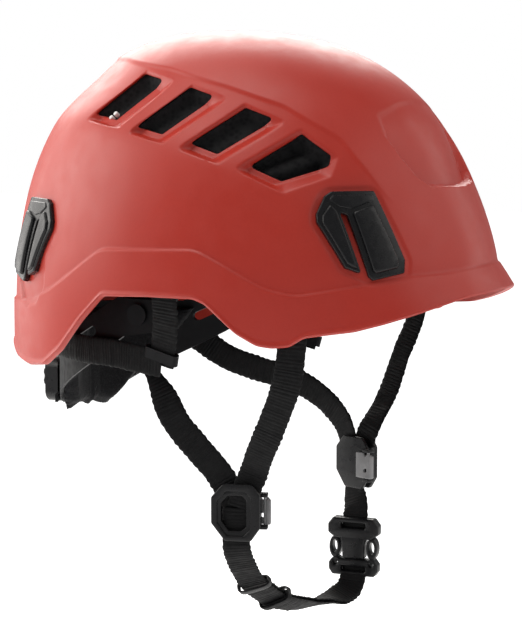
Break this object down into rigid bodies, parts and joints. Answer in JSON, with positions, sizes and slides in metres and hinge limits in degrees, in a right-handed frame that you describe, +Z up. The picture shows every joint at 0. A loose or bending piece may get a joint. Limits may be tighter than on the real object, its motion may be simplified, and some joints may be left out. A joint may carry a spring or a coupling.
{
  "type": "climbing helmet",
  "caption": "Hard-shell climbing helmet with foam liner, dial-adjusted nape cradle, headlamp clips and a webbing chin harness with dividers and side-release buckle.",
  "frame": {"origin": "on the midline under the crown, in the level plane where the shell is widest, which is the middle of the head opening", "axes": "+Z up towards the crown, -Y forward towards the brim, +X towards the wearer's left"},
  "size_m": [0.223, 0.2755, 0.3168],
  "materials": {
    "shell_red": "satin red shell",
    "black_plastic": "satin black nylon",
    "band_plastic": "flexible black plastic",
    "liner_foam": "fine-beaded black foam",
    "pad_fabric": "black knitted mesh over soft foam",
    "webbing": "black ribbed polyester webbing",
    "elastic": "black elastic",
    "grey_plastic": "dark grey nylon",
    "steel": "plain steel"
  },
  "bodies": {
    "helmet": {"shell": "shell_red", "liner": "liner_foam", "crown_pad": "pad_fabric", "brow_pad": "pad_fabric", "headband": "band_plastic", "band_hangers": "black_plastic", "pivot_pins": "black_plastic", "clip_front_right": "black_plastic", "clip_front_left": "black_plastic", "clip_rear_right": "black_plastic", "clip_rear_left": "black_plastic", "strap_front_right": "webbing", "strap_front_left": "webbing", "strap_rear_right": "webbing", "strap_rear_left": "webbing", "strap_side_right": "webbing", "strap_side_left": "webbing", "strap_lower_left": "webbing", "strap_chin": "webbing", "strap_anchors": "black_plastic", "strap_guides": "black_plastic", "strap_keeper": "black_plastic", "tail_loop": "elastic", "divider_right": "black_plastic", "divider_left": "black_plastic", "lever_pins": "steel", "buckle_socket": "black_plastic"},
    "nape": {"nape_cradle": "band_plastic", "nape_pad": "pad_fabric", "dial_housing": "black_plastic", "strap_nape": "webbing"},
    "dial": {"dial_knob": "black_plastic", "pinion": "black_plastic"},
    "rack_l": {"rack_left": "black_plastic"},
    "rack_r": {"rack_right": "black_plastic"},
    "lever_r": {"lever_right": "grey_plastic"},
    "lever_l": {"lever_left": "grey_plastic"},
    "tongue": {"buckle_tongue": "black_plastic"},
    "arm_front": {"press_arm_front": "black_plastic"},
    "arm_rear": {"press_arm_rear": "black_plastic"}
  },
  "joints": [
    {"name": "nape_swing", "type": "hinge", "parent": "helmet", "child": "nape", "pos_m": [0, 0.01, 0.01], "axis": [1, 0, 0], "range_deg": [-10, 5]},
    {"name": "dial_spin", "type": "hinge", "parent": "nape", "child": "dial", "pos_m": [0, 0.106, -0.038], "axis": [0, 1, 0], "range_deg": [-100, 100]},
    {"name": "rack_left_shift", "type": "hinge", "parent": "nape", "child": "rack_l", "pos_m": [0, 0.0295, -0.03], "axis": [0, 0, 1], "range_deg": [-7.03, 7.03]},
    {"name": "rack_right_shift", "type": "hinge", "parent": "nape", "child": "rack_r", "pos_m": [0, 0.0295, -0.03], "axis": [0, 0, 1], "range_deg": [-7.03, 7.03]},
    {"name": "lever_right_open", "type": "hinge", "parent": "helmet", "child": "lever_r", "pos_m": [-0.06084, -0.05279, -0.09], "axis": [0, 0, -1], "range_deg": [0, 75]},
    {"name": "lever_left_open", "type": "hinge", "parent": "helmet", "child": "lever_l", "pos_m": [0.06084, -0.05379, -0.087], "axis": [0, 0, 1], "range_deg": [0, 75]},
    {"name": "buckle_release", "type": "slide", "parent": "helmet", "child": "tongue", "axis": [0, 0, -1], "range_m": [0, 0.022], "deforming": ["strap_chin"]},
    {"name": "press_front", "type": "hinge", "parent": "tongue", "child": "arm_front", "pos_m": [0.06306, -0.05555, -0.1426], "axis": [-0.995, -0.1, 0], "range_deg": [0, 5], "stiffness_Nm_per_rad": 0.05},
    {"name": "press_rear", "type": "hinge", "parent": "tongue", "child": "arm_rear", "pos_m": [0.06094, -0.03445, -0.1426], "axis": [0.995, 0.1, 0], "range_deg": [0, 5], "stiffness_Nm_per_rad": 0.05}
  ],
  "couplings": [
    {"joint": "rack_left_shift", "follows": "dial_spin", "ratio": -0.070225},
    {"joint": "rack_right_shift", "follows": "dial_spin", "ratio": 0.070225}
  ]
}
